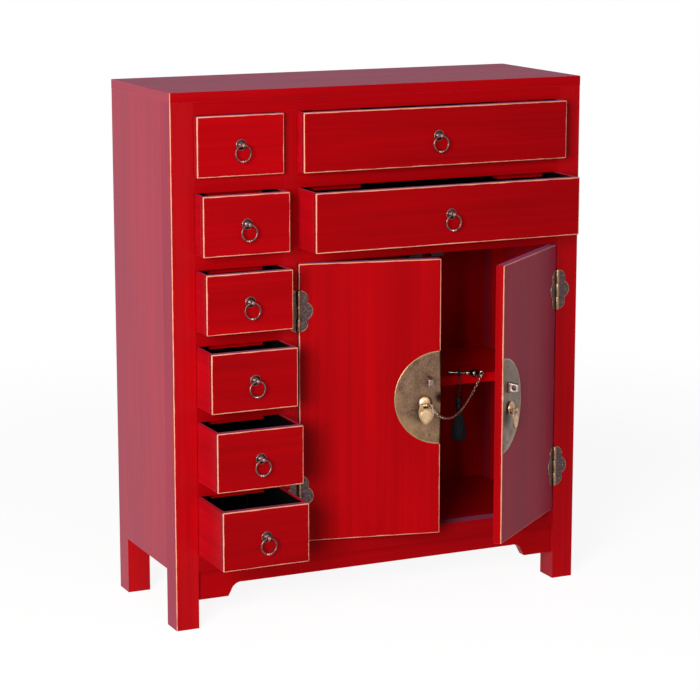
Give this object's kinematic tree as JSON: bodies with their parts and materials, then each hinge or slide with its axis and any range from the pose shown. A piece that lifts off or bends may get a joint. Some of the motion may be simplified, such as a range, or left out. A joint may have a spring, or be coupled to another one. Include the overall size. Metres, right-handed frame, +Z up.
{
  "type": "chinese wedding cabinet",
  "caption": "Low lacquered cabinet with a column of small drawers, wide drawers above a two-door cupboard, and a round brass lock plate split between the doors.",
  "frame": {"origin": "rear left corner of the left rear foot, on the floor", "axes": "+X to the right seen from the front, +Y to the rear, +Z up"},
  "size_m": [0.7, 0.4108, 0.83],
  "materials": {
    "lacquered_wood": "satin red lacquer",
    "ring_pulls": "dark antique bronze",
    "hinges": "dark antique bronze",
    "lock_plates": "scratched antique brass",
    "staples": "cast pewter colour",
    "polished_brass": "polished brass",
    "lock_pin": "blackened and polished",
    "tassel": "black thread",
    "catches": "black moulded plastic"
  },
  "bodies": {
    "cabinet": {"front_post_left": "lacquered_wood", "front_post_right": "lacquered_wood", "rear_post_left": "lacquered_wood", "rear_post_right": "lacquered_wood", "top_panel": "lacquered_wood", "side_panel_left": "lacquered_wood", "side_panel_right": "lacquered_wood", "back_panel": "lacquered_wood", "bottom_board": "lacquered_wood", "top_rail": "lacquered_wood", "bottom_rail": "lacquered_wood", "apron": "lacquered_wood", "centre_stile": "lacquered_wood", "drawer_rails": "lacquered_wood", "partition": "lacquered_wood", "drawer_runners": "lacquered_wood", "drawer_stops": "lacquered_wood", "shelf": "lacquered_wood", "shelf_cleats": "lacquered_wood", "door_catches": "catches", "hinge_frame_leaves_and_pins": "hinges", "lock_pin": "lock_pin", "lock_tassel": "tassel", "lock_chain": "polished_brass"},
    "small_drawer_1": {"small_drawer_1": "lacquered_wood", "small_drawer_1_pull_base": "ring_pulls"},
    "small_drawer_1_ring": {"small_drawer_1_ring": "ring_pulls"},
    "small_drawer_2": {"small_drawer_2": "lacquered_wood", "small_drawer_2_pull_base": "ring_pulls"},
    "small_drawer_2_ring": {"small_drawer_2_ring": "ring_pulls"},
    "small_drawer_3": {"small_drawer_3": "lacquered_wood", "small_drawer_3_pull_base": "ring_pulls"},
    "small_drawer_3_ring": {"small_drawer_3_ring": "ring_pulls"},
    "small_drawer_4": {"small_drawer_4": "lacquered_wood", "small_drawer_4_pull_base": "ring_pulls"},
    "small_drawer_4_ring": {"small_drawer_4_ring": "ring_pulls"},
    "small_drawer_5": {"small_drawer_5": "lacquered_wood", "small_drawer_5_pull_base": "ring_pulls"},
    "small_drawer_5_ring": {"small_drawer_5_ring": "ring_pulls"},
    "small_drawer_6": {"small_drawer_6": "lacquered_wood", "small_drawer_6_pull_base": "ring_pulls"},
    "small_drawer_6_ring": {"small_drawer_6_ring": "ring_pulls"},
    "wide_drawer_1": {"wide_drawer_1": "lacquered_wood", "wide_drawer_1_pull_base": "ring_pulls"},
    "wide_drawer_1_ring": {"wide_drawer_1_ring": "ring_pulls"},
    "wide_drawer_2": {"wide_drawer_2": "lacquered_wood", "wide_drawer_2_pull_base": "ring_pulls"},
    "wide_drawer_2_ring": {"wide_drawer_2_ring": "ring_pulls"},
    "left_door": {"left_door_panel": "lacquered_wood", "left_hinge_door_leaves": "hinges", "left_lock_plate": "lock_plates", "left_lock_staple": "staples", "left_door_knob": "polished_brass"},
    "left_pendant": {"left_door_pendant": "polished_brass"},
    "right_door": {"right_door_panel": "lacquered_wood", "right_hinge_door_leaves": "hinges", "right_lock_plate": "lock_plates", "right_lock_staple": "staples", "right_door_knob": "polished_brass"},
    "right_pendant": {"right_door_pendant": "polished_brass"}
  },
  "joints": [
    {"name": "small_drawer_1_slide", "type": "slide", "parent": "cabinet", "child": "small_drawer_1", "axis": [0, -1, 0], "range_m": [-0.012, 0.168]},
    {"name": "small_drawer_1_ring_swing", "type": "hinge", "parent": "small_drawer_1", "child": "small_drawer_1_ring", "pos_m": [0.1085, -0.2812, 0.7495], "axis": [-1, 0, 0], "range_deg": [-15, 110]},
    {"name": "small_drawer_2_slide", "type": "slide", "parent": "cabinet", "child": "small_drawer_2", "axis": [0, -1, 0], "range_m": [-0.034, 0.146]},
    {"name": "small_drawer_2_ring_swing", "type": "hinge", "parent": "small_drawer_2", "child": "small_drawer_2_ring", "pos_m": [0.1085, -0.3032, 0.6325], "axis": [-1, 0, 0], "range_deg": [-15, 110]},
    {"name": "small_drawer_3_slide", "type": "slide", "parent": "cabinet", "child": "small_drawer_3", "axis": [0, -1, 0], "range_m": [-0.044, 0.136]},
    {"name": "small_drawer_3_ring_swing", "type": "hinge", "parent": "small_drawer_3", "child": "small_drawer_3_ring", "pos_m": [0.1085, -0.3132, 0.5155], "axis": [-1, 0, 0], "range_deg": [-15, 110]},
    {"name": "small_drawer_4_slide", "type": "slide", "parent": "cabinet", "child": "small_drawer_4", "axis": [0, -1, 0], "range_m": [-0.061, 0.119]},
    {"name": "small_drawer_4_ring_swing", "type": "hinge", "parent": "small_drawer_4", "child": "small_drawer_4_ring", "pos_m": [0.1085, -0.3302, 0.3985], "axis": [-1, 0, 0], "range_deg": [-15, 110]},
    {"name": "small_drawer_5_slide", "type": "slide", "parent": "cabinet", "child": "small_drawer_5", "axis": [0, -1, 0], "range_m": [-0.081, 0.099]},
    {"name": "small_drawer_5_ring_swing", "type": "hinge", "parent": "small_drawer_5", "child": "small_drawer_5_ring", "pos_m": [0.1085, -0.3502, 0.2815], "axis": [-1, 0, 0], "range_deg": [-15, 110]},
    {"name": "small_drawer_6_slide", "type": "slide", "parent": "cabinet", "child": "small_drawer_6", "axis": [0, -1, 0], "range_m": [-0.101, 0.079]},
    {"name": "small_drawer_6_ring_swing", "type": "hinge", "parent": "small_drawer_6", "child": "small_drawer_6_ring", "pos_m": [0.1085, -0.3702, 0.1645], "axis": [-1, 0, 0], "range_deg": [-15, 110]},
    {"name": "wide_drawer_1_slide", "type": "slide", "parent": "cabinet", "child": "wide_drawer_1", "axis": [0, -1, 0], "range_m": [-0.025, 0.155]},
    {"name": "wide_drawer_1_ring_swing", "type": "hinge", "parent": "wide_drawer_1", "child": "wide_drawer_1_ring", "pos_m": [0.434, -0.2942, 0.7495], "axis": [-1, 0, 0], "range_deg": [-15, 110]},
    {"name": "wide_drawer_2_slide", "type": "slide", "parent": "cabinet", "child": "wide_drawer_2", "axis": [0, -1, 0], "range_m": [-0.069, 0.111]},
    {"name": "wide_drawer_2_ring_swing", "type": "hinge", "parent": "wide_drawer_2", "child": "wide_drawer_2_ring", "pos_m": [0.434, -0.3382, 0.6325], "axis": [-1, 0, 0], "range_deg": [-15, 110]},
    {"name": "left_door_hinge", "type": "hinge", "parent": "cabinet", "child": "left_door", "pos_m": [0.20575, -0.2632, 0.339], "axis": [0, 0, -1], "range_deg": [-12, 78], "deforming": ["lock_chain"]},
    {"name": "left_pendant_swing", "type": "hinge", "parent": "left_door", "child": "left_pendant", "pos_m": [0.40108, -0.31341, 0.33], "axis": [-0.9781, 0.2079, 0], "range_deg": [-5, 80]},
    {"name": "right_door_hinge", "type": "hinge", "parent": "cabinet", "child": "right_door", "pos_m": [0.66225, -0.2632, 0.339], "axis": [0, 0, 1], "range_deg": [-40, 130]},
    {"name": "right_pendant_swing", "type": "hinge", "parent": "right_door", "child": "right_pendant", "pos_m": [0.51336, -0.39923, 0.33], "axis": [-0.766, -0.6428, 0], "range_deg": [-5, 80]}
  ]
}
